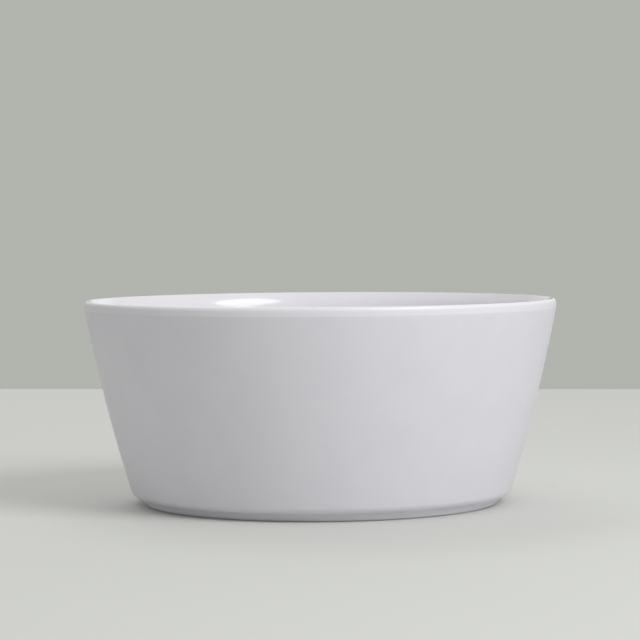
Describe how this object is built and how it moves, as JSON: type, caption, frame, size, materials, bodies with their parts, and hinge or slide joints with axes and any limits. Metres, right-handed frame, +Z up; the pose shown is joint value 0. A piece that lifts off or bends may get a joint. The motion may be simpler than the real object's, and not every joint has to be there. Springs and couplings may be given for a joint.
{
  "type": "chip and dip server",
  "caption": "Round flared serving bowl for chips on a low foot ring, with a lift-out dip cup standing in a locating ring at the centre of its floor.",
  "frame": {"origin": "centre of the bowl's foot ring, on the surface it rests on", "axes": "+Z up along the axis that both vessels are turned about; +X and +Y are any two level directions at right angles"},
  "size_m": [0.25, 0.25, 0.108],
  "materials": {
    "bowl_melamine": "moulded melamine, cool white, matte outside, paler with a satin gloss on the lip and inside",
    "cup_melamine": "moulded melamine, cool white, matte outside, paler with a satin gloss on the lip and inside"
  },
  "bodies": {
    "bowl": {"chip_bowl": "bowl_melamine"},
    "cup": {"dip_cup": "cup_melamine"}
  },
  "joints": [
    {"name": "dip_cup_lift", "type": "slide", "parent": "bowl", "child": "cup", "axis": [0, 0, 1], "range_m": [0, 0.12]}
  ]
}
